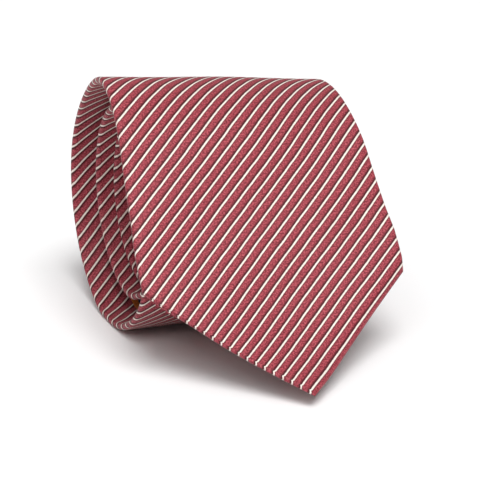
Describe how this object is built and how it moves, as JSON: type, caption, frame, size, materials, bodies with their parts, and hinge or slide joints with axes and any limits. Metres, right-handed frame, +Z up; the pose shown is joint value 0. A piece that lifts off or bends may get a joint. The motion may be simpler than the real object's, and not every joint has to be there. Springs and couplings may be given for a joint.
{
  "type": "necktie",
  "caption": "Rolled necktie standing on its roll, with the wide pointed blade brought over the top and down in front.",
  "frame": {"origin": "centre of the footprint, on the surface that the roll stands on", "axes": "+Z up; +Y from the blade's point towards the back of the roll; +X across the tie, along the roll's axis"},
  "size_m": [0.08, 0.1154, 0.0761],
  "materials": {
    "silk": "woven repp, satin",
    "thread": "matt thread",
    "interlining": "brushed wool, matt",
    "tipping": "smooth lining, satin",
    "label": "woven ribbon, satin",
    "label_edge": "bright thread",
    "care_tape": "smooth tape, satin",
    "white_thread": "matt thread"
  },
  "bodies": {
    "root": {"blade_shell": "silk", "neck_shell": "silk", "tail_shell": "silk", "blade_neck_seam": "thread", "neck_tail_seam": "thread", "blade_interlining": "interlining", "tail_interlining": "interlining", "interlining_join": "interlining", "blade_tipping": "tipping", "tail_tipping": "tipping", "blade_tip_seam": "thread", "tail_tip_seam": "thread", "slip_stitch": "thread", "blade_bar_tack": "thread", "tail_bar_tack": "thread", "keeper_loop": "silk", "keeper_tacks": "thread", "brand_label": "label", "label_stitches": "label_edge", "care_label": "care_tape", "care_stitches": "white_thread"}
  },
  "joints": []
}
